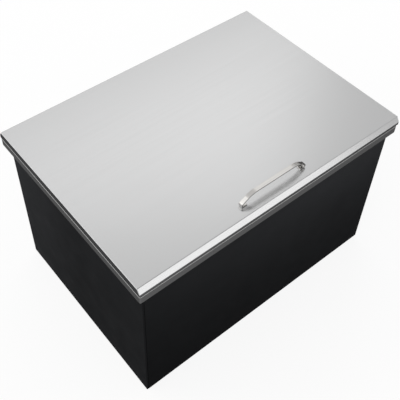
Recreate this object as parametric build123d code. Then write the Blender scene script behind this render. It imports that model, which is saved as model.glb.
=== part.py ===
from build123d import *
import math
import os

# Lengths are in millimetres. X runs along the long side, the front faces -Y,
# and Z rises from the base, which the bin stands on when it is out of its worktop.

# Lid skin
lid_width = 508.0
lid_top_depth = 352.4
bevel_run = 5.3
bevel_drop = 8.4
lip_height = 5.1
lid_sheet = 0.8
lid_fold_radius = 1.2
lid_end_radius = 0.9

# Lid pan and foam
pan_sheet = 0.8
pan_flange_height = 4.0
pan_fit = 0.2
foam_fit = 0.3

# Lid seal, closing on the rim with a hair of air
seal_width = 9.0
seal_height = 3.5
seal_edge_radius = 1.0
seal_margin = 1.0
closing_gap = 0.3

# Handle: a flat strip bent to a bow
handle_half_length = 62.8
handle_rise = 17.6
handle_width = 7.2
handle_thickness = 1.8
handle_leg_angle = 31.3
handle_foot_bend = 3.0
handle_shoulder_share = 0.43
handle_setback = 18.0
handle_stud_inset = 7.0
handle_foot_tail = 2.8
handle_edge_radius = 0.5

# Handle studs, nuts and the plate under the skin
stud_radius = 1.5
stud_hole_fit = 0.2
stud_recess = 0.3
stud_end = 1.0
thread_fit = 0.03
nut_across_flats = 5.5
nut_height = 2.4
plate_length = 150.0
plate_width = 24.0
plate_thickness = 1.5

# Rim frame
rim_side_inset = 0.85
rim_front_inset = 1.0
rim_back_reach = 1.5
rim_height = 14.6
rim_sheet = 0.8
rim_corner_radius = 2.5
rim_fold_radius = 1.0
rim_setback = 4.0
rim_fit = 0.3

# Case
case_side_inset = 8.0
case_front_inset = 7.0
case_back_inset = 11.5
case_height = 277.8
case_sheet = 0.8
case_bend_radius = 1.8
case_flange = 14.0
case_corner = 2.2
case_joint = 1.2

# Tub and the foam round it
wall_foam = 15.0
tub_sheet = 0.8
tub_corner_radius = 18.0
tub_floor_radius = 10.0
tub_mouth_radius = 3.0
tub_flange_reach = 3.0
floor_edge_height = 27.0
floor_fall = 5.0
drain_seat_width = 76.0

# Drain fitting, its seals and locknut
drain_flange_radius = 32.0
drain_flange_thickness = 2.0
drain_flange_round = 0.8
drain_seal_thickness = 1.0
drain_socket_radius = 21.0
drain_seat_radius = 17.0
drain_ledge_radius = 13.5
drain_ledge_thickness = 2.5
drain_thread_radius = 15.145
drain_thread_length = 15.0
drain_base_recess = 0.5
drain_hole_fit = 0.3
drain_washer_radius = 29.0
drain_washer_thickness = 2.0
locknut_across_flats = 54.0
locknut_height = 6.0

# Strainer
strainer_fit = 0.2
strainer_thickness = 1.2
strainer_hole_radius = 1.6
strainer_rings = 2
strainer_first_ring = 6
strainer_edge_share = 0.25

# Drain plug
plug_fit = 0.3
plug_foot_gap = 0.5
plug_head_radius = 22.0
plug_head_thickness = 3.0
plug_neck_radius = 5.5
plug_neck_height = 7.0
plug_knob_radius = 10.0
plug_knob_thickness = 5.0
plug_round = 1.2

# Hinges
hinge_length = 76.0
hinge_end_margin = 66.0
hinge_sheet = 1.2
knuckle_radius = 2.5
knuckle_gap = 0.3
knuckle_count = 5
leaf_reach = 15.0
pin_radius = 1.25
pin_fit = 0.04
pin_head_radius = 2.0
pin_head_thickness = 0.8

# Blind rivets through the hinge leaves
rivet_radius = 1.6
rivet_hole_fit = 0.05
rivet_head_radius = 3.0
rivet_head_height = 1.1
rivet_head_round = 0.7
rivet_bulb_radius = 2.3
rivet_bulb_height = 1.8
rivet_stem_radius = 0.9
rivet_stem_depth = 0.8
rivet_pitch = 28.0
rivet_count = 3
rivet_place = 9.0

# Every cut runs past the faces it opens by this much
overrun = 1.0

# Edges this close to a place are taken to lie on it
close_enough = 0.0001

# Levels, from the base up
rim_seat_z = case_height
rim_top_z = rim_seat_z + rim_height
lid_bottom_z = rim_top_z + closing_gap + seal_height
lid_top_z = lid_bottom_z + lip_height + bevel_drop
drain_seat_z = floor_edge_height - floor_fall
drain_top_z = drain_seat_z + drain_seal_thickness + drain_flange_thickness

# Plan, from front to back
lid_depth = lid_top_depth + 2 * bevel_run
overall_depth = lid_depth + rim_back_reach + 2 * knuckle_radius
lid_front_y = -overall_depth / 2
lid_back_y = lid_front_y + lid_depth
rim_front_y = lid_front_y + rim_front_inset
rim_back_y = lid_back_y + rim_back_reach
case_front_y = rim_front_y + case_front_inset
case_back_y = rim_back_y - case_back_inset
hinge_y = rim_back_y + knuckle_radius
hinge_z = lid_bottom_z - knuckle_radius

# Half widths, the handle's studs and the hinges' middles, from the middle out
handle_stud_x = handle_half_length - handle_stud_inset
hinge_place = lid_width / 2 - hinge_end_margin - hinge_length / 2
rim_half_width = lid_width / 2 - rim_side_inset
case_half_width = rim_half_width - case_side_inset
tub_wall = case_sheet + wall_foam + tub_sheet
tub_half_width = case_half_width - tub_wall
tub_front_y = case_front_y + tub_wall
tub_back_y = case_back_y - tub_wall
drain_y = (case_front_y + case_back_y) / 2
handle_y = lid_front_y + bevel_run + handle_setback


def block(x_low, x_high, y_low, y_high, z_low, z_high):
    """A box between two corners."""
    middle = ((x_low + x_high) / 2, (y_low + y_high) / 2, (z_low + z_high) / 2)
    return Pos(*middle) * Box(x_high - x_low, y_high - y_low, z_high - z_low)


def slab(half_width, y_low, y_high, z_low, z_high, radius=0):
    """A plate centred on X, with its upright corners rounded."""
    size = (2 * half_width, y_high - y_low)
    outline = RectangleRounded(*size, radius) if radius > 0 else Rectangle(*size)
    return Pos(0, (y_low + y_high) / 2, z_low) * extrude(outline, amount=z_high - z_low)


def disc(radius, z_low, z_high, x=0, y=0):
    """An upright cylinder between two levels."""
    height = z_high - z_low
    return Pos(x, y, (z_low + z_high) / 2) * Cylinder(radius, height)


def hexagon(across_flats, z_low, z_high, x=0, y=0):
    """An upright hexagonal prism between two levels."""
    outline = RegularPolygon(across_flats / 2, side_count=6, major_radius=False)
    return Pos(x, y, z_low) * extrude(outline, amount=z_high - z_low)


def edges_at(shape, axis, place, along=None):
    """The edges whose middle lies at one place on an axis."""
    found = shape.edges().filter_by(lambda e: abs(getattr(e.center(), axis) - place) < close_enough)
    return found.filter_by(along) if along else found


def group(solids):
    """Like pieces that share one node, kept as separate solids."""
    return Compound(children=[s.solid() for s in solids])


def lid_volume(inset, end_radius=0):
    """The lid's outer form, a flat top with two sloped long edges, moved in by an inset."""
    half = lid_depth / 2
    low = 0 if inset == 0 else -overrun
    height = lip_height + bevel_drop
    points = [
        (-half, low),
        (-half, lip_height),
        (-half + bevel_run, height),
        (half - bevel_run, height),
        (half, lip_height),
        (half, low),
    ]
    outline = make_face(Polyline(*points, close=True))
    if inset > 0:
        outline = offset(outline, amount=-inset, kind=Kind.INTERSECTION)
        outline += Pos(0, low / 2) * Rectangle(2 * (half - inset), -low + 2 * inset)
    else:
        folds = outline.vertices().filter_by(lambda v: v.Y > low + lip_height / 2)
        outline = fillet(folds, lid_fold_radius)
    length = lid_width - 2 * inset
    form = extrude(Plane.YZ * outline, amount=length / 2, both=True)
    if end_radius > 0:
        for side in (-length / 2, length / 2):
            rim = edges_at(form, "X", side).filter_by(lambda e: e.center().Z > lip_height / 4)
            form = fillet(rim, end_radius)
    return Pos(0, (lid_front_y + lid_back_y) / 2, lid_bottom_z) * form


def handle_holes(radius, z_low, z_high):
    """Cutters or shafts on the lines of the two handle studs."""
    return [disc(radius, z_low, z_high, x, handle_y) for x in (-handle_stud_x, handle_stud_x)]


def make_lid_skin():
    skin = lid_volume(0, lid_end_radius) - lid_volume(lid_sheet)
    hole = stud_radius + stud_hole_fit
    for cutter in handle_holes(hole, lid_top_z - lid_sheet - overrun, lid_top_z + overrun):
        skin -= cutter
    return skin


def hinge_rivet_xs(place):
    """Where the rivets of one hinge lie along it."""
    first = -rivet_pitch * (rivet_count - 1) / 2
    return [place + first + rivet_pitch * i for i in range(rivet_count)]


def lid_rivet_places():
    y = hinge_y - rivet_place
    return [(x, y) for place in (-hinge_place, hinge_place) for x in hinge_rivet_xs(place)]


def make_lid_pan():
    side = lid_sheet + pan_fit
    top = lid_bottom_z + pan_flange_height
    pan = slab(lid_width / 2 - side, lid_front_y + side, lid_back_y - side, lid_bottom_z, top)
    inner = side + pan_sheet
    pan -= slab(
        lid_width / 2 - inner,
        lid_front_y + inner,
        lid_back_y - inner,
        lid_bottom_z + pan_sheet,
        top + overrun,
    )
    hole = rivet_radius + rivet_hole_fit
    for x, y in lid_rivet_places():
        pan -= disc(hole, lid_bottom_z - overrun, lid_bottom_z + pan_sheet + overrun, x, y)
    return pan


def make_lid_insulation():
    side = lid_sheet + pan_fit + pan_sheet + foam_fit
    front = lid_front_y + bevel_run + lid_sheet + foam_fit
    back = lid_back_y - bevel_run - lid_sheet - foam_fit
    low, high = lid_bottom_z + pan_sheet, lid_top_z - lid_sheet
    foam = slab(lid_width / 2 - side, front, back, low, high)
    plate_low = high - plate_thickness
    foam -= block(
        -plate_length / 2 - foam_fit,
        plate_length / 2 + foam_fit,
        handle_y - plate_width / 2 - foam_fit,
        handle_y + plate_width / 2 + foam_fit,
        plate_low,
        high + overrun,
    )
    nut_low = plate_low - nut_height - stud_end - foam_fit
    for pocket in handle_holes(nut_across_flats, nut_low, plate_low + overrun):
        foam -= pocket
    bulb_top = low + rivet_bulb_height + foam_fit
    for x, y in lid_rivet_places():
        foam -= disc(rivet_bulb_radius + foam_fit, low - overrun, bulb_top, x, y)
    return foam


def make_lid_seal():
    inner = rim_setback + seal_margin
    outer = inner + seal_width
    low = lid_bottom_z - seal_height
    ring = slab(
        tub_half_width + outer,
        tub_front_y - outer,
        tub_back_y + outer,
        low,
        lid_bottom_z,
        tub_corner_radius + outer,
    )
    ring -= slab(
        tub_half_width + inner,
        tub_front_y - inner,
        tub_back_y + inner,
        low - overrun,
        lid_bottom_z + overrun,
        tub_corner_radius + inner,
    )
    return fillet(edges_at(ring, "Z", low), seal_edge_radius)


def handle_path():
    """The strip's middle line: foot, leg and half the bow, mirrored to the other side."""
    angle = math.radians(handle_leg_angle)
    low = handle_thickness / 2
    high = handle_rise - low
    bend_run = handle_foot_bend / math.tan(angle / 2)
    heel_x = handle_half_length - low - handle_foot_bend + bend_run
    shoulder_x = heel_x - (high - low) / math.tan(angle)
    leg_left = (high - low) / math.sin(angle) - bend_run
    shoulder = handle_shoulder_share * leg_left / math.tan(angle / 2)
    tail_x = handle_stud_x - handle_foot_tail
    half = [(tail_x, low), (heel_x, low), (shoulder_x, high)]
    points = half + [(-x, z) for x, z in reversed(half)]
    radii = [handle_foot_bend, shoulder, shoulder, handle_foot_bend]
    return FilletPolyline(*points, radius=radii)


def make_handle():
    line = handle_path()
    outline = make_face(offset(line, amount=handle_thickness / 2, side=Side.BOTH, kind=Kind.INTERSECTION))
    strip = extrude(Plane.XZ * outline, amount=handle_width / 2, both=True)
    faces = [strip.faces().sort_by(Axis.Y)[0], strip.faces().sort_by(Axis.Y)[-1]]
    for face in faces:
        strip = fillet(edges_at(strip, "Y", face.center().Y), handle_edge_radius)
    strip = Pos(0, handle_y, lid_top_z) * strip
    hole = stud_radius + thread_fit
    for cutter in handle_holes(hole, lid_top_z - overrun, lid_top_z + handle_thickness + overrun):
        strip -= cutter
    return strip


def make_handle_studs():
    """Threaded studs welded into the feet, down through skin, plate and nuts."""
    high = lid_top_z + handle_thickness - stud_recess
    low = lid_top_z - lid_sheet - plate_thickness - nut_height - stud_end
    return group(handle_holes(stud_radius, low, high))


def make_handle_nuts():
    high = lid_top_z - lid_sheet - plate_thickness
    nuts = []
    for x in (-handle_stud_x, handle_stud_x):
        nut = hexagon(nut_across_flats, high - nut_height, high, x, handle_y)
        nut -= disc(stud_radius + thread_fit, high - nut_height - overrun, high + overrun, x, handle_y)
        nuts.append(nut)
    return group(nuts)


def make_handle_backing_plate():
    high = lid_top_z - lid_sheet
    low = high - plate_thickness
    plate = Pos(0, handle_y, 0) * slab(
        plate_length / 2, -plate_width / 2, plate_width / 2, low, high, plate_width / 8
    )
    for cutter in handle_holes(stud_radius + stud_hole_fit, low - overrun, high + overrun):
        plate -= cutter
    return plate


def make_rim_frame():
    rim = slab(rim_half_width, rim_front_y, rim_back_y, rim_seat_z, rim_top_z, rim_corner_radius)
    for level in (rim_seat_z, rim_top_z):
        rim = fillet(edges_at(rim, "Z", level), rim_fold_radius)
    rim -= slab(
        rim_half_width - rim_sheet,
        rim_front_y + rim_sheet,
        rim_back_y - rim_sheet,
        rim_seat_z + rim_sheet,
        rim_top_z - rim_sheet,
        rim_corner_radius - rim_sheet,
    )
    rim -= slab(
        tub_half_width + rim_setback,
        tub_front_y - rim_setback,
        tub_back_y + rim_setback,
        rim_top_z - rim_sheet - overrun,
        rim_top_z + overrun,
        tub_corner_radius + rim_setback,
    )
    rim -= slab(
        case_half_width + rim_fit,
        case_front_y - rim_fit,
        case_back_y + rim_fit,
        rim_seat_z - overrun,
        rim_seat_z + rim_sheet + overrun,
        case_bend_radius + rim_fit,
    )
    hole = rivet_radius + rivet_hole_fit
    for x, z in base_rivet_places():
        rim -= level_rod(hole, x, z, rim_back_y - rim_sheet - overrun, rim_back_y + overrun)
    return rim


def level_rod(radius, x, z, y_low, y_high):
    """A cylinder lying front to back."""
    rod = Rot(90, 0, 0) * Cylinder(radius, y_high - y_low)
    return Pos(x, (y_low + y_high) / 2, z) * rod


def base_rivet_places():
    z = hinge_z - rivet_place
    return [(x, z) for place in (-hinge_place, hinge_place) for x in hinge_rivet_xs(place)]


def case_top_z():
    return rim_top_z - rim_sheet - tub_sheet


def make_case_wrap():
    """Front, bottom and back in one sheet, open at both ends."""
    half = case_half_width - case_corner - case_joint
    top = case_top_z()
    wrap = block(-half, half, case_front_y, case_back_y, 0, top)
    bends = wrap.edges().filter_by(Axis.X).filter_by(lambda e: e.center().Z < case_sheet)
    wrap = fillet(bends, case_bend_radius)
    inner = block(
        -half - overrun,
        half + overrun,
        case_front_y + case_sheet,
        case_back_y - case_sheet,
        case_sheet,
        top + overrun,
    )
    bends = inner.edges().filter_by(Axis.X).filter_by(lambda e: e.center().Z < 2 * case_sheet)
    wrap -= fillet(bends, case_bend_radius - case_sheet)
    hole = drain_socket_radius + drain_hole_fit
    return wrap - disc(hole, -overrun, case_sheet + overrun, 0, drain_y)


def make_case_end(side):
    """A shallow tray on end. Its corner is flush with the wrap, its flanges lie inside the wrap."""
    low, high = case_front_y + case_sheet, case_back_y - case_sheet
    top = case_top_z()
    reach = case_half_width - case_flange
    tray = block(reach, case_half_width, low, high, case_sheet, top)
    bends = tray.edges().filter_by(Axis.X).filter_by(lambda e: e.center().Z < 2 * case_sheet)
    tray = fillet(bends, case_bend_radius - case_sheet)
    inward = case_half_width - case_corner
    corner = block(inward, case_half_width, case_front_y, case_back_y, 0, top)
    bends = corner.edges().filter_by(Axis.X).filter_by(lambda e: e.center().Z < case_sheet)
    tray += fillet(bends, case_bend_radius)
    outline = edges_at(tray, "X", case_half_width).filter_by(lambda e: e.center().Z < top - case_sheet)
    tray = fillet(outline, case_bend_radius)
    tray -= block(
        reach - overrun,
        case_half_width - case_sheet,
        low + case_sheet,
        high - case_sheet,
        2 * case_sheet,
        top + overrun,
    )
    return tray if side > 0 else mirror(tray, about=Plane.YZ)


def tub_volume(grow, top):
    """The space inside the tub, or with its sheet added, with a floor that falls to the drain."""
    form = slab(
        tub_half_width + grow,
        tub_front_y - grow,
        tub_back_y + grow,
        floor_edge_height - grow,
        top,
        tub_corner_radius + grow,
    )
    form = fillet(edges_at(form, "Z", floor_edge_height - grow), tub_floor_radius + grow)
    flat_width = 2 * (tub_half_width - tub_corner_radius)
    flat_depth = tub_back_y - tub_front_y - 2 * tub_corner_radius
    edge = Pos(0, drain_y, floor_edge_height - grow) * Rectangle(flat_width, flat_depth)
    seat = Pos(0, drain_y, drain_seat_z - grow) * Rectangle(drain_seat_width, drain_seat_width)
    return form + loft([seat, edge])


def make_tub():
    flange_top = rim_top_z - rim_sheet
    flange_low = flange_top - tub_sheet
    reach = case_half_width + tub_flange_reach
    tub = tub_volume(tub_sheet, flange_top)
    tub += slab(
        reach,
        case_front_y - tub_flange_reach,
        case_back_y + tub_flange_reach,
        flange_low,
        flange_top,
        case_bend_radius + tub_flange_reach,
    )
    under = edges_at(tub, "Z", flange_low).filter_by(
        lambda e: abs(e.center().X) < case_half_width and case_front_y < e.center().Y < case_back_y
    )
    tub = fillet(under, tub_mouth_radius - tub_sheet)
    tub -= tub_volume(0, flange_top)
    mouth = edges_at(tub, "Z", flange_top).filter_by(
        lambda e: abs(e.center().X) < case_half_width and case_front_y < e.center().Y < case_back_y
    )
    tub = fillet(mouth, tub_mouth_radius)
    hole = drain_socket_radius + drain_hole_fit
    return tub - disc(hole, drain_seat_z - tub_sheet - overrun, drain_seat_z + overrun, 0, drain_y)


def foam_block(low, high):
    """The space between the case and the tub, from one level to another."""
    half = case_half_width - case_sheet
    front = case_front_y + 2 * case_sheet
    back = case_back_y - 2 * case_sheet
    return slab(half, front, back, low, high) - tub_volume(tub_sheet + foam_fit, high + overrun)


def foam_split_z():
    return floor_edge_height + tub_floor_radius


def make_wall_insulation():
    return foam_block(foam_split_z(), case_top_z() - tub_mouth_radius)


def make_base_insulation():
    low = 2 * case_sheet
    foam = foam_block(low, foam_split_z())
    foam -= disc(drain_socket_radius + foam_fit, low - overrun, drain_seat_z, 0, drain_y)
    pocket = locknut_across_flats / math.sqrt(3) + foam_fit
    nut_low = drain_seat_z - tub_sheet - drain_washer_thickness - locknut_height - foam_fit
    return foam - disc(pocket, nut_low, drain_seat_z, 0, drain_y)


def make_drain_fitting():
    """A flanged socket: strainer ledge and plug seat above, pipe thread below."""
    flange_low = drain_seat_z + drain_seal_thickness
    fitting = disc(drain_flange_radius, flange_low, drain_top_z, 0, drain_y)
    fitting = fillet(edges_at(fitting, "Z", drain_top_z), drain_flange_round)
    fitting += disc(drain_socket_radius, drain_base_recess, drain_top_z - drain_flange_round, 0, drain_y)
    thread_top = drain_base_recess + drain_thread_length
    seat = thread_top + drain_ledge_thickness
    fitting -= disc(drain_thread_radius, drain_base_recess - overrun, thread_top, 0, drain_y)
    fitting -= disc(drain_ledge_radius, thread_top, seat, 0, drain_y)
    return fitting - disc(drain_seat_radius, seat, drain_top_z + overrun, 0, drain_y)


def drain_ring(radius, low, high):
    """A flat ring round the drain's socket."""
    hole = disc(drain_socket_radius + thread_fit, low - overrun, high + overrun, 0, drain_y)
    return disc(radius, low, high, 0, drain_y) - hole


def make_drain_seal():
    return drain_ring(drain_flange_radius, drain_seat_z, drain_seat_z + drain_seal_thickness)


def make_drain_washer():
    high = drain_seat_z - tub_sheet
    return drain_ring(drain_washer_radius, high - drain_washer_thickness, high)


def make_drain_locknut():
    high = drain_seat_z - tub_sheet - drain_washer_thickness
    low = high - locknut_height
    nut = hexagon(locknut_across_flats, low, high, 0, drain_y)
    return nut - disc(drain_socket_radius + thread_fit, low - overrun, high + overrun, 0, drain_y)


def strainer_z():
    return drain_base_recess + drain_thread_length + drain_ledge_thickness


def make_drain_strainer():
    low = strainer_z()
    high = low + strainer_thickness
    plate = disc(drain_seat_radius - strainer_fit, low, high, 0, drain_y)
    plate -= disc(strainer_hole_radius, low - overrun, high + overrun, 0, drain_y)
    for ring in range(1, strainer_rings + 1):
        radius = ring * (drain_ledge_radius - strainer_hole_radius) / (strainer_rings + strainer_edge_share)
        count = strainer_first_ring * ring
        for i in range(count):
            turn = 2 * math.pi * i / count
            x, y = radius * math.cos(turn), drain_y + radius * math.sin(turn)
            plate -= disc(strainer_hole_radius, low - overrun, high + overrun, x, y)
    return plate


def make_drain_plug():
    """A rubber stopper with a knob to lift it by."""
    foot = strainer_z() + strainer_thickness + plug_foot_gap
    head_low = drain_top_z + plug_fit
    head_high = head_low + plug_head_thickness
    knob_low = head_high + plug_neck_height
    knob_high = knob_low + plug_knob_thickness
    plug = disc(drain_seat_radius - plug_fit, foot, head_low, 0, drain_y)
    head = disc(plug_head_radius, head_low, head_high, 0, drain_y)
    plug += fillet(edges_at(head, "Z", head_high), plug_round)
    plug += disc(plug_neck_radius, head_high, knob_low, 0, drain_y)
    knob = disc(plug_knob_radius, knob_low, knob_high, 0, drain_y)
    return plug + fillet(knob.edges().filter_by(GeomType.CIRCLE), plug_round)


def knuckle_spans(place, own):
    """The stretches of a hinge that belong to one leaf: even ones to the base, odd to the lid."""
    step = hinge_length / knuckle_count
    start = place - hinge_length / 2
    return [
        (start + step * i + knuckle_gap / 2, start + step * (i + 1) - knuckle_gap / 2)
        for i in range(knuckle_count)
        if i % 2 == own
    ]


def knuckle(x_low, x_high):
    """One rolled stretch of a leaf round the pin."""
    length = x_high - x_low
    tube = Cylinder(knuckle_radius, length) - Cylinder(pin_radius + pin_fit, length + overrun)
    return Pos((x_low + x_high) / 2, hinge_y, hinge_z) * (Rot(0, 90, 0) * tube)


def pin_bore(place):
    length = hinge_length + overrun
    return Pos(place, hinge_y, hinge_z) * (Rot(0, 90, 0) * Cylinder(pin_radius + pin_fit, length))


def make_base_leaf(place):
    """Stands against the rim's back skirt."""
    half = hinge_length / 2
    clear = knuckle_radius + knuckle_gap
    front, back = rim_back_y, rim_back_y + hinge_sheet
    leaf = block(place - half, place + half, front, back, hinge_z - leaf_reach, hinge_z - clear)
    for low, high in knuckle_spans(place, 0):
        leaf += block(low, high, front, back, hinge_z - clear, hinge_z)
        leaf += knuckle(low, high)
    leaf -= pin_bore(place)
    hole = rivet_radius + rivet_hole_fit
    for x in hinge_rivet_xs(place):
        leaf -= level_rod(hole, x, hinge_z - rivet_place, front - overrun, back + overrun)
    return leaf


def make_lid_leaf(place):
    """Lies under the lid's back edge."""
    half = hinge_length / 2
    clear = knuckle_radius + knuckle_gap
    low_z, high_z = lid_bottom_z - hinge_sheet, lid_bottom_z
    leaf = block(place - half, place + half, hinge_y - leaf_reach, hinge_y - clear, low_z, high_z)
    for low, high in knuckle_spans(place, 1):
        leaf += block(low, high, hinge_y - clear, hinge_y, low_z, high_z)
        leaf += knuckle(low, high)
    leaf -= pin_bore(place)
    hole = rivet_radius + rivet_hole_fit
    for x in hinge_rivet_xs(place):
        leaf -= disc(hole, low_z - overrun, high_z + overrun, x, hinge_y - rivet_place)
    return leaf


def make_hinge_pin(place):
    half = hinge_length / 2 - knuckle_gap / 2
    pin = Cylinder(pin_radius, 2 * half)
    for side in (-1, 1):
        pin += Pos(0, 0, side * (half + pin_head_thickness / 2)) * Cylinder(
            pin_head_radius, pin_head_thickness
        )
    return Pos(place, hinge_y, hinge_z) * (Rot(0, 90, 0) * pin)


def rivet(grip):
    """A set blind rivet along +Z: head below the origin, shank through the grip, bulb above.
    The head is hollow where its stem has snapped off."""
    head = disc(rivet_head_radius, -rivet_head_height, 0)
    head = fillet(edges_at(head, "Z", -rivet_head_height), rivet_head_round)
    head -= disc(rivet_stem_radius, -rivet_head_height - overrun, -rivet_head_height + rivet_stem_depth)
    shank = disc(rivet_radius, 0, grip)
    return head + shank + disc(rivet_bulb_radius, grip, grip + rivet_bulb_height)


def make_hinge_lid_rivets():
    grip = hinge_sheet + pan_sheet
    low = lid_bottom_z - hinge_sheet
    return group([Pos(x, y, low) * rivet(grip) for x, y in lid_rivet_places()])


def make_hinge_base_rivets():
    grip = hinge_sheet + rim_sheet
    back = rim_back_y + hinge_sheet
    turned = Rot(90, 0, 0) * rivet(grip)
    return group([Pos(x, back, z) * turned for x, z in base_rivet_places()])


nodes = {
    "lid_skin": make_lid_skin(),
    "lid_pan": make_lid_pan(),
    "lid_insulation": make_lid_insulation(),
    "lid_seal": make_lid_seal(),
    "handle": make_handle(),
    "handle_studs": make_handle_studs(),
    "handle_nuts": make_handle_nuts(),
    "handle_backing_plate": make_handle_backing_plate(),
    "rim_frame": make_rim_frame(),
    "case_wrap": make_case_wrap(),
    "case_end_left": make_case_end(-1),
    "case_end_right": make_case_end(1),
    "tub": make_tub(),
    "wall_insulation": make_wall_insulation(),
    "base_insulation": make_base_insulation(),
    "drain_fitting": make_drain_fitting(),
    "drain_seal": make_drain_seal(),
    "drain_washer": make_drain_washer(),
    "drain_locknut": make_drain_locknut(),
    "drain_strainer": make_drain_strainer(),
    "drain_plug": make_drain_plug(),
    "hinge_base_leaf_left": make_base_leaf(-hinge_place),
    "hinge_base_leaf_right": make_base_leaf(hinge_place),
    "hinge_lid_leaf_left": make_lid_leaf(-hinge_place),
    "hinge_lid_leaf_right": make_lid_leaf(hinge_place),
    "hinge_pin_left": make_hinge_pin(-hinge_place),
    "hinge_pin_right": make_hinge_pin(hinge_place),
    "hinge_base_rivets": make_hinge_base_rivets(),
    "hinge_lid_rivets": make_hinge_lid_rivets(),
}

os.makedirs("parts", exist_ok=True)
for name, shape in nodes.items():
    export_step(shape, f"parts/{name}.step")
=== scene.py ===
import math

import bpy
import numpy as np
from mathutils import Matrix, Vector


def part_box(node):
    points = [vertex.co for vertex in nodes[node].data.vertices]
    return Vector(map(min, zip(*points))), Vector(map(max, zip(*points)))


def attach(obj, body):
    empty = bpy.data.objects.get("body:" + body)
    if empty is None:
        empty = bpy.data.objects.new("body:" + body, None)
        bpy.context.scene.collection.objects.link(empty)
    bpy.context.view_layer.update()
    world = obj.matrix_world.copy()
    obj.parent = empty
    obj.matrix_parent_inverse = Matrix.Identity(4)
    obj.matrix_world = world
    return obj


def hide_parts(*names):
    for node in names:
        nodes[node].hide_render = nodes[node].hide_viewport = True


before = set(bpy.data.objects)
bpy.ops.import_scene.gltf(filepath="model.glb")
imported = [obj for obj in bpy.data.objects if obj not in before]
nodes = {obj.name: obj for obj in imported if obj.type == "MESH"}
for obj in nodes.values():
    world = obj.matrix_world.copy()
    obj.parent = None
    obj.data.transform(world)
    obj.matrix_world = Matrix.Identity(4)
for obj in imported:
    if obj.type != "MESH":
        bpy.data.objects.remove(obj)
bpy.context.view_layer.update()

# The case: black coated sheet steel. One sheet makes the front, bottom and back, and two
# shallow end trays close it. Both have the same fine powder coat, baked on before assembly.
# Its tones carry painted light and shade, set apart for the front and back and for the ends.

MM = 0.001


class Recipe:
    """A tree of shader nodes. What goes into a node is a socket, a number, a vector or a colour."""

    def __init__(self, tree):
        self.tree = tree

    def fill(self, place, value):
        """Joins a socket to a node's input, or writes a plain value there."""
        if isinstance(value, bpy.types.NodeSocket):
            self.tree.links.new(value, place)
        elif isinstance(place, bpy.types.NodeSocketColor):
            place.default_value = (*value, 1)
        else:
            place.default_value = value

    def add(self, kind, inputs, **settings):
        """A new node, with its settings by name and its inputs by name or number."""
        node = self.tree.nodes.new(kind)
        for name, value in settings.items():
            setattr(node, name, value)
        for name, value in inputs.items():
            self.fill(node.inputs[name], value)
        return node

    def part(self, vector, axis):
        """How much of a vector lies along X, Y or Z."""
        return self.add("ShaderNodeSeparateXYZ", {"Vector": vector}).outputs[axis]

    def number(self, operation, *values):
        """One sum on numbers, which gives a number."""
        node = self.add("ShaderNodeMath", dict(enumerate(values)), operation=operation)
        return node.outputs["Value"]

    def vector(self, operation, *values, result="Vector"):
        """One sum on vectors, which gives a vector, or a number where the result is Value."""
        node = self.add("ShaderNodeVectorMath", dict(enumerate(values)), operation=operation)
        return node.outputs[result]

    def spread(self, value, low=0, high=1, start=0.3, end=0.7, curve="LINEAR"):
        """Takes a value from start..end to low..high, and no further. Unless others are given,
        start and end are the ones between which noise mostly lies."""
        limits = {"From Min": start, "From Max": end, "To Min": low, "To Max": high}
        node = self.add("ShaderNodeMapRange", {"Value": value, **limits}, interpolation_type=curve)
        return node.outputs["Result"]

    def blend(self, share, first, second, way="MIX"):
        """A colour between two, by a share from 0 to 1. The node's colours are its inputs 6 and 7
        and its output 2."""
        inputs = {"Factor": share, 6: first, 7: second}
        node = self.add("ShaderNodeMix", inputs, data_type="RGBA", blend_type=way)
        return node.outputs[2]


class Finish(Recipe):
    """A Principled surface, a metal or not, whose patterns all lie on Object coordinates."""

    def __init__(self, name, metal):
        self.material = bpy.data.materials.new(name)
        self.material.use_nodes = True
        super().__init__(self.material.node_tree)
        self.surface = self.tree.nodes["Principled BSDF"]
        self.give("Metallic", metal)
        source = self.add("ShaderNodeTexCoord", {})
        self.place, self.facing = source.outputs["Object"], source.outputs["Normal"]
        self.bump = None

    def give(self, name, value):
        """Gives the surface a pattern, or one value all over."""
        self.fill(self.surface.inputs[name], value)

    def noise(self, size, stretch=(1, 1, 1), detail=3, kind="ShaderNodeTexNoise"):
        """Noise whose features are about size across, drawn out by stretch along X, Y and Z."""
        scale = [1 / (size * s) for s in stretch]
        mapping = self.add("ShaderNodeMapping", {"Vector": self.place, "Scale": scale})
        inputs = {"Vector": mapping.outputs["Vector"], "Scale": 1, "Detail": detail}
        return self.add(kind, inputs).outputs[0]

    def relief(self, height, depth):
        """Adds a bump of the given depth on top of the ones before it."""
        node = self.add("ShaderNodeBump", {"Height": height, "Distance": depth})
        if self.bump is not None:
            self.fill(node.inputs["Normal"], self.bump)
        self.bump = node.outputs["Normal"]
        self.give("Normal", self.bump)

    def put_on(self, *names):
        for name in names:
            for slot in nodes[name].material_slots:
                slot.material = self.material


coat_gloss = 0.001
coat_tint = (1, 1.03, 1.10)
coat_roughness = (0.42, 0.58)
painted_shade_heights = (20 * MM, 250 * MM)
orange_peel, peel_depth = 1.1 * MM, 0.02 * MM
sheen_patch = 35 * MM
hand_mark, hand_mark_stretch, hand_mark_limits = 120 * MM, (1, 1, 0.8), (0.2, 0.8)
hand_mark_tones = ((0.92, 0.92, 0.92), (1.08, 1.08, 1.08))


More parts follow.
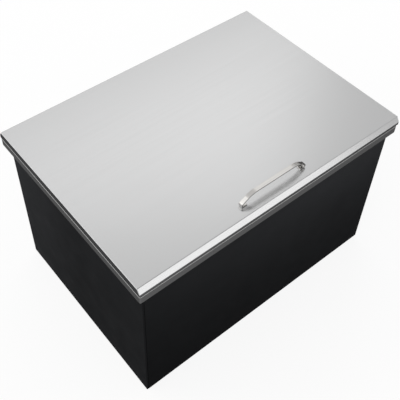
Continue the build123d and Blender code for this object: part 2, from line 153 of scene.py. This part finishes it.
def powder_coat(name, axis, reach, near, far, rise):
    """Black coat with a fine orange peel and soft handling marks, and painted light and shade
    in its tone. That tone grows from a low one at the foot, painted shade, to a high one at the
    rim, painted light, with the height to the power of rise. From one end of its reach along X or
    Y to the other, that pair of tones changes from near to far, as painted light towards far."""
    coat = Finish(name, metal=0)
    coat.give("Specular IOR Level", coat_gloss)
    # Painted shade at the foot, painted light towards the rim.
    height = coat.spread(coat.part(coat.place, "Z"), 0, 1, *painted_shade_heights)
    height = coat.number("POWER", height, rise)
    ends = []
    for tones in (near, far):
        low, high = ([tone * tint for tint in coat_tint] for tone in tones)
        ends.append(coat.blend(height, low, high))
    # Painted light that grows from one end of the reach to the other.
    along = coat.spread(coat.part(coat.place, axis), 0, 1, *reach)
    tone = coat.blend(along, *ends)
    marks = coat.spread(coat.noise(hand_mark, hand_mark_stretch), 0, 1, *hand_mark_limits)
    marks = coat.blend(marks, *hand_mark_tones)
    coat.give("Base Color", coat.blend(1, tone, marks, way="MULTIPLY"))
    coat.give("Roughness", coat.spread(coat.noise(sheen_patch, detail=5), *coat_roughness))
    coat.relief(coat.noise(orange_peel, detail=2), peel_depth)
    return coat


# The near and far tones below are painted light and shade, fitted apart for the wrap and for the
# ends.
wrap_coat = powder_coat(
    "black_coat_wrap",
    axis="X",
    reach=(-235 * MM, 100 * MM),
    near=(0.0100, 0.0190),
    far=(0.0138, 0.0360),
    rise=2,
)
wrap_coat.put_on("case_wrap")

end_coat = powder_coat(
    "black_coat_ends",
    axis="Y",
    reach=(0, 170 * MM),
    near=(0.0138, 0.0162),
    far=(0.0225, 0.0300),
    rise=1,
)
end_coat.put_on("case_end_left", "case_end_right")

# The tub: the bin's bright liner, stainless sheet deep drawn with round corners. Its floor falls
# to the drain, and its brim is held between the rim and the case. The lid's pan has its finish.

liner_tones = ((0.56, 0.56, 0.555), (0.64, 0.64, 0.635))
liner_roughness = (0.22, 0.36)
liner_cloud = 70 * MM
draw_mark, draw_mark_stretch, draw_mark_depth = 1.6 * MM, (1, 1, 60), 0.004 * MM
scratch, scratch_stretch, scratch_depth = 0.5 * MM, (40, 1.5, 1), 0.003 * MM


def liner_steel():
    """Softly reflective sheet with faint draw marks down the walls and fine scratches from the
    scoop."""
    steel = Finish("liner_steel", metal=1)
    clouds = steel.spread(steel.noise(liner_cloud, detail=4))
    steel.give("Base Color", steel.blend(clouds, *liner_tones))
    marks = steel.noise(draw_mark, draw_mark_stretch)
    steel.give("Roughness", steel.spread(marks, *liner_roughness))
    steel.relief(marks, draw_mark_depth)
    steel.relief(steel.noise(scratch, scratch_stretch, detail=2), scratch_depth)
    return steel


liner_steel().put_on("tub", "lid_pan")

# The insulation: cream polyurethane foam, poured between tub and case and into the lid. It sets
# hard there with a blotchy skin over small cells, and stiffens the thin sheets.

foam_tones = ((0.74, 0.62, 0.36), (0.86, 0.78, 0.55))
foam_roughness = 0.95
foam_blotch = 14 * MM
foam_cell, foam_cell_depth = 2.2 * MM, 0.5 * MM


def poured_foam():
    """Dull foam, blotched by its skin and pitted by its cells."""
    foam = Finish("poured_foam", metal=0)
    blotches = foam.spread(foam.noise(foam_blotch, detail=4))
    foam.give("Base Color", foam.blend(blotches, *foam_tones))
    foam.give("Roughness", foam_roughness)
    foam.relief(foam.noise(foam_cell, kind="ShaderNodeTexVoronoi"), foam_cell_depth)
    return foam


poured_foam().put_on("wall_insulation", "base_insulation", "lid_insulation")

# The rim: a folded ring of stainless strip, mitred and ground at its corners. It carries the
# bin on the worktop, and its skirt is brushed along its length.

upright_shade_limits = (0.05, 0.45)
# The upright tone is painted shade; the flat tone is for flat and sloped faces.
rim_shaded_and_flat_tones = ((0.136, 0.136, 0.137), (0.40, 0.40, 0.395))
rim_edge_gloss = (0.375, 0.375, 0.375)
rim_roughness = (0.22, 0.30)
rim_patch, rim_patch_stretch = 9 * MM, (6, 6, 1)
rim_grain, rim_grain_stretch, rim_grain_depth = 0.45 * MM, (80, 80, 1), 0.005 * MM


def folded_steel(name, tones, edge_gloss):
    """Stainless sheet whose upright faces show the first, darker tone, painted shade that stands in
    for the dark reflections of upright faces, and whose flat and sloped faces show the second. The
    edge gloss is what it keeps of its reflections at grazing angles."""
    steel = Finish(name, metal=1)
    steel.give("Specular Tint", edge_gloss)
    # Painted shade on upright faces, by the object-space normal.
    unshaded_share = steel.spread(steel.part(steel.facing, "Z"), 0, 1, *upright_shade_limits)
    steel.give("Base Color", steel.blend(unshaded_share, *tones))
    return steel


def rim_steel():
    """Brushed strip whose sheen changes a little from patch to patch."""
    steel = folded_steel("rim_steel", rim_shaded_and_flat_tones, rim_edge_gloss)
    patches = steel.noise(rim_patch, rim_patch_stretch, detail=4)
    steel.give("Roughness", steel.spread(patches, *rim_roughness))
    steel.relief(steel.noise(rim_grain, rim_grain_stretch), rim_grain_depth)
    return steel


rim_steel().put_on("rim_frame")

# The drain fitting: a flanged socket of nickel-plated brass, turned, and threaded inside for a
# 1 inch drain tail. A locknut draws it down on the tub's floor.

nickel_tone = (0.66, 0.64, 0.60)
nickel_roughness = (0.15, 0.3)
nickel_cloud = 6 * MM
turning, turning_stretch, turning_depth = 0.4 * MM, (1, 1, 8), 0.002 * MM

inch, threads_per_inch = 25.4 * MM, 11
thread_pitch = inch / threads_per_inch
thread_crest, thread_root = 15.145 * MM, 16.624 * MM
thread_length = 15 * MM
thread_fade = 1.2 * MM
thread_sharpness = 0.94
ledge_radius, ledge_height = 13.5 * MM, 2.5 * MM
bore_radius, bore_chamfer = 17 * MM, 0.2 * MM
flange_height, flange_round = 2 * MM, 0.8 * MM
socket_radius = 21 * MM
thread_levels, round_points, turn_points = 151, 7, 96
sharp_angle = math.radians(35)


def nickel_plate():
    """Bright, slightly clouded plating over fine turning marks."""
    plate = Finish("nickel_plate", metal=1)
    plate.give("Base Color", nickel_tone)
    plate.give("Roughness", plate.spread(plate.noise(nickel_cloud, detail=5), *nickel_roughness))
    plate.relief(plate.noise(turning, turning_stretch, detail=2), turning_depth)
    return plate


def closed_grid(rows, columns):
    """Four-sided faces over a grid of points that closes on itself both ways, like a ring."""
    row, column = np.meshgrid(np.arange(rows), np.arange(columns), indexing="ij")
    next_row, next_column = (row + 1) % rows, (column + 1) % columns
    corners = ((row, column), (next_row, column), (next_row, next_column), (row, next_column))
    return np.stack([(r * columns + c).ravel() for r, c in corners], axis=1)


def new_piece(name, points, finish, body, replaced):
    """A ring-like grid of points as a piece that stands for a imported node."""
    mesh = bpy.data.meshes.new(name)
    faces = closed_grid(*points.shape[:2])
    mesh.from_pydata(points.reshape(-1, 3).tolist(), [], faces.tolist())
    mesh.materials.append(finish.material)
    mesh.shade_smooth()
    mesh.set_sharp_from_angle(angle=sharp_angle)
    piece = bpy.data.objects.new(name, mesh)
    bpy.context.scene.collection.objects.link(piece)
    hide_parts(replaced)
    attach(piece, body)


def threaded_fitting():
    """The fitting's section carried round its axis. Along the thread the radius is the crest's
    plus depth * (1 - asin(k cos w) / asin(k)) / 2, a triangle wave whose tips are rounder for a
    smaller k, the sharpness. Its angle w grows by a turn for each pitch of height and falls by
    one for each turn round the axis, so the thread climbs as a helix. It fades in and out over
    a short height at both ends."""
    low, high = (np.array(corner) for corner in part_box("drain_fitting"))
    middle = (low + high) / 2
    flange_radius = (high[0] - low[0]) / 2
    bottom, top = low[2], high[2]
    thread_top = bottom + thread_length
    seat = thread_top + ledge_height
    under = top - flange_height

    section = [(thread_crest, z) for z in np.linspace(bottom, thread_top, thread_levels)]
    section += [(ledge_radius, thread_top), (ledge_radius, seat), (bore_radius, seat)]
    section += [(bore_radius, top - bore_chamfer), (bore_radius + bore_chamfer, top)]
    for angle in np.radians(np.linspace(90, 0, round_points)):
        inset = flange_round * (1 - math.cos(angle))
        drop = flange_round * (1 - math.sin(angle))
        section.append((flange_radius - inset, top - drop))
    section += [(flange_radius, under), (socket_radius, under), (socket_radius, bottom)]

    radius, level = np.array(section).T[:, :, None]
    turn = np.linspace(0, 2 * np.pi, turn_points, endpoint=False)[None, :]
    threaded = np.arange(len(section))[:, None] < thread_levels
    fade = np.clip(np.minimum(level - bottom, thread_top - level) / thread_fade, 0, 1)
    climb = 2 * np.pi * level / thread_pitch - turn
    wave = np.arcsin(thread_sharpness * np.cos(climb)) / np.arcsin(thread_sharpness)
    radius = radius + threaded * fade * (thread_root - thread_crest) * (1 - wave) / 2
    x = middle[0] + radius * np.cos(turn)
    y = middle[1] + radius * np.sin(turn)
    return np.stack([x, y, np.broadcast_to(level, x.shape)], axis=2)


drain_nickel = nickel_plate()
drain_nickel.put_on("drain_locknut")
new_piece("drain_socket", threaded_fitting(), drain_nickel, "bin", "drain_fitting")

# Small steel parts: the drain's perforated strainer, the handle's studs, nuts and backing plate,
# and the blind rivets of the hinges. All are plain stainless, tumbled bright.

fastener_tone = (0.58, 0.57, 0.55)
fastener_roughness = (0.18, 0.34)
fastener_cloud = 3 * MM
tumbling, tumbling_depth = 0.3 * MM, 0.004 * MM


def fastener_steel():
    """Bright steel, finely and evenly scuffed."""
    steel = Finish("fastener_steel", metal=1)
    steel.give("Base Color", fastener_tone)
    clouds = steel.noise(fastener_cloud, detail=4)
    steel.give("Roughness", steel.spread(clouds, *fastener_roughness))
    steel.relief(steel.noise(tumbling, detail=2), tumbling_depth)
    return steel


fastener = fastener_steel()
fastener.put_on("drain_strainer", "handle_studs", "handle_nuts", "handle_backing_plate")
fastener.put_on("hinge_base_rivets", "hinge_lid_rivets")

# The drain's rubber: a seal between flange and floor, a washer under the floor, and the moulded
# stopper that rests in the fitting and lifts out by its knob.

bloom, bloom_limits, bloom_gain = 9 * MM, (0.35, 0.8), 2.2
bloom_roughness = 0.1
rubber_grain, rubber_grain_depth = 0.35 * MM, 0.02 * MM


def rubber(name, tone, roughness):
    """Dark rubber with a fine grain. Its faint bloom is paler by bloom_gain, and the roughness
    differs with it by bloom_roughness both ways."""
    body = Finish(name, metal=0)
    cloud = body.noise(bloom, detail=4)
    pale = [bloom_gain * share for share in tone]
    body.give("Base Color", body.blend(body.spread(cloud, 0, 1, *bloom_limits), tone, pale))
    smooth, rough = roughness - bloom_roughness, roughness + bloom_roughness
    body.give("Roughness", body.spread(cloud, smooth, rough))
    body.relief(body.noise(rubber_grain, detail=2), rubber_grain_depth)
    return body


seal_rubber = rubber("seal_rubber", tone=(0.018, 0.018, 0.019), roughness=0.65)
seal_rubber.put_on("drain_seal", "drain_washer")
plug_rubber = rubber("plug_rubber", tone=(0.014, 0.014, 0.015), roughness=0.5)
plug_rubber.put_on("drain_plug")

# The lid seal: extruded rubber under the lid's edge, joined into a ring. A flat strip carries a
# bulb that closes on the rim, with a thin lip on each side of it.

strip_width, strip_height = 9 * MM, 0.9 * MM
seal_corner = 32 * MM
bulb_reach, bulb_height = 2.7 * MM, 2.6 * MM
side_lip_place, side_lip_height, side_lip_spread = 3.75 * MM, 0.9 * MM, 0.35 * MM
section_points, corner_points = 91, 16


def bulb_seal():
    """The seal's section carried round a rectangle with round corners. At s across the strip it
    drops below the strip by bulb_height * sqrt(1 - (s / bulb_reach)^2), or by the side lips'
    height * exp(-((|s| - place) / spread)^2) where that is more."""
    low, high = (np.array(corner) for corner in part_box("lid_seal"))
    s = strip_width / 2 * np.linspace(-1, 1, section_points)
    bulb = bulb_height * np.sqrt(np.clip(1 - (s / bulb_reach) ** 2, 0, None))
    lips = side_lip_height * np.exp(-(((np.abs(s) - side_lip_place) / side_lip_spread) ** 2))
    under = high[2] - strip_height - np.maximum(bulb, lips)
    across = np.concatenate([s, s[::-1]])
    level = np.concatenate([under, np.full_like(s, high[2])])

    radius = seal_corner - strip_width / 2
    reach = (high - low) / 2 - seal_corner
    quarters = [np.linspace(start, start + 90, corner_points) for start in (0, 90, 180, 270)]
    turn = np.radians(np.concatenate(quarters))
    outward = np.stack([np.cos(turn), np.sin(turn)], axis=1)
    corners = np.repeat([(1, 1), (-1, 1), (-1, -1), (1, -1)], corner_points, axis=0)
    line = (low + high)[:2] / 2 + corners * reach[:2] + radius * outward
    plan = line[:, None, :] + outward[:, None, :] * across[None, :, None]
    levels = np.broadcast_to(level[None, :, None], (len(line), len(level), 1))
    return np.concatenate([plan, levels], axis=2)


new_piece("bulb_seal", bulb_seal(), seal_rubber, "lid", "lid_seal")

# The hinges: two plain butt hinges of stainless strip, rolled round a pin. One leaf is riveted
# to the rim's back skirt, the other under the lid's back edge.

hinge_tone = (0.52, 0.52, 0.51)
hinge_roughness = (0.24, 0.4)
rolling, rolling_stretch = 0.6 * MM, (30, 1, 1)
hinge_grain, hinge_grain_stretch, hinge_grain_depth = 0.4 * MM, (40, 1, 1), 0.004 * MM


def hinge_steel():
    """Rolled strip with its grain along the pin."""
    steel = Finish("hinge_steel", metal=1)
    steel.give("Base Color", hinge_tone)
    steel.give("Roughness", steel.spread(steel.noise(rolling, rolling_stretch), *hinge_roughness))
    steel.relief(steel.noise(hinge_grain, hinge_grain_stretch, detail=2), hinge_grain_depth)
    return steel


hinge = hinge_steel()
for side in ("left", "right"):
    hinge.put_on(f"hinge_base_leaf_{side}", f"hinge_lid_leaf_{side}", f"hinge_pin_{side}")

# The lid: one sheet of brushed stainless. Its long edges slope down to a lip, its ends turn down
# in a plain skirt, and the grain runs along its length.

# The first tone is painted shade on the lip and skirts; the second is the sheet's flat tone.
lid_shaded_and_flat_tones = ((0.135, 0.135, 0.137), (0.655, 0.656, 0.658))
lid_edge_gloss = (0.285, 0.285, 0.285)
lid_roughness = (0.238, 0.258)
lid_band, lid_band_stretch = 5 * MM, (60, 1, 1)
lid_grain, lid_grain_stretch, lid_grain_depth = 0.5 * MM, (120, 1, 1), 0.005 * MM
lid_wave, lid_wave_depth = 140 * MM, 0.25 * MM


def lid_steel():
    """Brushed sheet with a fine grain, faint bands along it and slow waves in its flat."""
    steel = folded_steel("lid_steel", lid_shaded_and_flat_tones, lid_edge_gloss)
    steel.give("Roughness", steel.spread(steel.noise(lid_band, lid_band_stretch), *lid_roughness))
    steel.relief(steel.noise(lid_grain, lid_grain_stretch), lid_grain_depth)
    steel.relief(steel.noise(lid_wave, detail=1), lid_wave_depth)
    return steel


lid_steel().put_on("lid_skin")

# The handle: a flat strip bent to a low bow and satin polished. Threaded studs are welded into
# its turned-in feet, and nuts under the lid draw it down.

# The under tone is painted light, the edge tone painted shade and the ring tone a painted shadow.
strip_tone, painted_light_under_tone = (0.645, 0.632, 0.612), (0.93, 0.93, 0.92)
painted_shade_edge_tone, painted_shadow_tone = (0.30, 0.30, 0.29), (0.07, 0.062, 0.055)
strip_edge_gloss = (0.15, 0.15, 0.15)
strip_roughness = (0.13, 0.23)
satin_band, satin_band_stretch = 2 * MM, (30, 1, 1)
satin_grain, satin_grain_stretch, satin_grain_depth = 0.4 * MM, (60, 1, 1), 0.003 * MM
under_limits, edge_limits = (-0.5, 0.1), (0.6, 0.95)
right_stud = (55.8 * MM, -161.45 * MM, 0)
# Inner and outer radii of the painted shadow ring round the right stud.
shadow_ring_inside, shadow_ring_outside = (1.3 * MM, 1.6 * MM), (2.9 * MM, 3.3 * MM)
foot_height, foot_blur = 3 * MM, 1 * MM
foot_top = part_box("handle")[0][2] + foot_height
foot_limits = (foot_top, foot_top + foot_blur)


def handle_steel():
    """Satin strip, with painted light on its underside, painted shade on its thin edges and a
    painted shadow on the right foot: a ring whose distance from the stud's axis lies between the
    ring's inner and outer radii, and which ends above the foot."""
    steel = Finish("handle_steel", metal=1)
    steel.give("Specular Tint", strip_edge_gloss)
    # Painted light below and painted shade on the thin edges.
    under = steel.spread(steel.part(steel.facing, "Z"), 1, 0, *under_limits)
    faces = steel.blend(under, strip_tone, painted_light_under_tone)
    sideways = steel.number("ABSOLUTE", steel.part(steel.facing, "Y"))
    faces = steel.blend(steel.spread(sideways, 0, 1, *edge_limits), faces, painted_shade_edge_tone)

    # A painted shadow ring round the right stud, ending above the foot.
    from_stud = steel.vector("SUBTRACT", steel.place, right_stud)
    from_stud = steel.vector("MULTIPLY", from_stud, (1, 1, 0))
    distance = steel.vector("LENGTH", from_stud, result="Value")
    inner = steel.spread(distance, 0, 1, *shadow_ring_inside)
    outer = steel.spread(distance, 1, 0, *shadow_ring_outside)
    low = steel.spread(steel.part(steel.place, "Z"), 1, 0, *foot_limits)
    ring = steel.number("MULTIPLY", steel.number("MULTIPLY", inner, outer), low)
    steel.give("Base Color", steel.blend(ring, faces, painted_shadow_tone))

    bands = steel.noise(satin_band, satin_band_stretch)
    steel.give("Roughness", steel.spread(bands, *strip_roughness))
    steel.relief(steel.noise(satin_grain, satin_grain_stretch, detail=2), satin_grain_depth)
    return steel


handle_steel().put_on("handle")

# The floor: a plain pale sheet a hair below the bin. To the camera, in gloss and through glass it
# is mostly white. The rest of it there is the lit sheet, which keeps the bin's soft shadow, and
# the white is a little over 1 to make up for that.

floor_size = 30.0
floor_level = -0.2 * MM
floor_tone, floor_roughness = (0.8, 0.8, 0.8), 0.9
white_share, white_strength = 0.8, 1.095


def floor_paint():
    """The white's share is white_share for the rays that show it directly, and 0 for the light
    that the floor throws on the bin."""
    paint = Finish("floor_white", metal=0)
    paint.give("Base Color", floor_tone)
    paint.give("Roughness", floor_roughness)
    ray = paint.add("ShaderNodeLightPath", {}).outputs
    direct = paint.number("MAXIMUM", ray["Is Camera Ray"], ray["Is Glossy Ray"])
    direct = paint.number("MAXIMUM", direct, ray["Is Transmission Ray"])
    white = paint.add("ShaderNodeEmission", {"Strength": white_strength}).outputs["Emission"]
    share = paint.number("MULTIPLY", direct, white_share)
    layers = {"Fac": share, 1: paint.surface.outputs["BSDF"], 2: white}
    mix = paint.add("ShaderNodeMixShader", layers)
    output = paint.tree.nodes["Material Output"]
    paint.fill(output.inputs["Surface"], mix.outputs["Shader"])
    return paint


half = floor_size / 2
floor_corners = [(-half, -half), (half, -half), (half, half), (-half, half)]
floor_mesh = bpy.data.meshes.new("floor")
floor_mesh.from_pydata([(x, y, floor_level) for x, y in floor_corners], [], [(0, 1, 2, 3)])
floor_mesh.materials.append(floor_paint().material)
floor = bpy.data.objects.new("floor", floor_mesh)
bpy.context.scene.collection.objects.link(floor)

# The room: soft and grey. It brightens up its front and back walls, dims overhead and falls off
# to one side, as three smooth steps that multiply. Where the camera sees it directly it is white.

# Each step: from, to, and the light at both ends. The side's edge is in degrees from +Y.
wall_step = (0.683, 0.772, 0.80, 1.275)
ceiling_step = (0.743, 0.836, 1.0, 0.56)
side_step = (-0.059, -0.019, 1.0, 0.57)
side_edge = 56.4


def light_room(world):
    """The light by the way a ray goes: the walls' step by its slope as seen from the left or
    right, the ceiling's by its full slope, and the side's by how far it goes to the dim side."""
    world.use_nodes = True
    room = Recipe(world.node_tree)

    def step(value, start, end, low, high):
        return room.spread(value, low, high, start, end, curve="SMOOTHSTEP")

    way = room.add("ShaderNodeTexCoord", {}).outputs["Generated"]
    slope = room.vector("NORMALIZE", room.vector("MULTIPLY", way, (0, 1, 1)))
    wall = step(room.part(slope, "Z"), *wall_step)
    ceiling = step(room.part(way, "Z"), *ceiling_step)
    turn = math.radians(side_edge)
    dim_way = (math.cos(turn), -math.sin(turn), 0)
    side = step(room.vector("DOT_PRODUCT", way, dim_way, result="Value"), *side_step)
    light = room.number("MULTIPLY", room.number("MULTIPLY", wall, ceiling), side)
    camera_ray = room.add("ShaderNodeLightPath", {}).outputs["Is Camera Ray"]
    background = room.tree.nodes["Background"]
    room.fill(background.inputs["Strength"], room.number("MAXIMUM", light, camera_ray))
    room.fill(background.inputs["Color"], (1, 1, 1))


bpy.context.scene.world = bpy.data.worlds.new("studio")
light_room(bpy.context.scene.world)

# The lamps: four flat soft boxes that the camera doesn't see. Each has its place, what it faces,
# its width and height, all in metres, and how brightly its face glows.

lamps = {
    "front_box": ((0.86, -3.0, 0.5), (0.1, 0, 0.3), (2.42, 1.0), 0.83),
    "left_box": ((-2.4, 1.9, 0.9), (0, 0, 0.3), (1.6, 1.2), 0.96),
    "back_box": ((2.3, 2.2, 0.6), (0, 0, 0.2), (2.4, 1.0), 0.9),
    "high_box": ((-1.157, 0.656, 1.631), (-0.055, -0.16, 0.32), (0.36, 0.36), 1.1),
}


def soft_lamp(name, place, aim, size, glow):
    """Its power is its glow times pi times its area, so a larger box glows no less."""
    light = bpy.data.lights.new(name, "AREA")
    light.shape = "RECTANGLE"
    light.size, light.size_y = size
    light.energy = glow * math.pi * size[0] * size[1]
    lamp = bpy.data.objects.new(name, light)
    lamp.location = place
    lamp.rotation_euler = (Vector(aim) - lamp.location).to_track_quat("-Z", "Y").to_euler()
    lamp.visible_camera = False
    bpy.context.scene.collection.objects.link(lamp)


for name, values in lamps.items():
    soft_lamp(name, *values)

# The camera: it stands in front of the bin, to its left and well above it. Its place is in
# metres, its turn in degrees, and the shift moves the picture's middle off the lens's axis.

camera_place = (-0.51709, -0.58738, 1.08764)
camera_turn = (43.1195, -0.4473, -38.5706)
camera_shift = (0.05, -0.13)
sensor_width, lens_length = 36.0, 63.867

camera_data = bpy.data.cameras.new("camera")
camera_data.sensor_width = sensor_width
camera_data.lens = lens_length
camera_data.shift_x, camera_data.shift_y = camera_shift
camera = bpy.data.objects.new("camera", camera_data)
camera.location = camera_place
camera.rotation_euler = [math.radians(angle) for angle in camera_turn]
bpy.context.scene.collection.objects.link(camera)
bpy.context.scene.camera = camera

bpy.context.scene.view_settings.view_transform = "Standard"
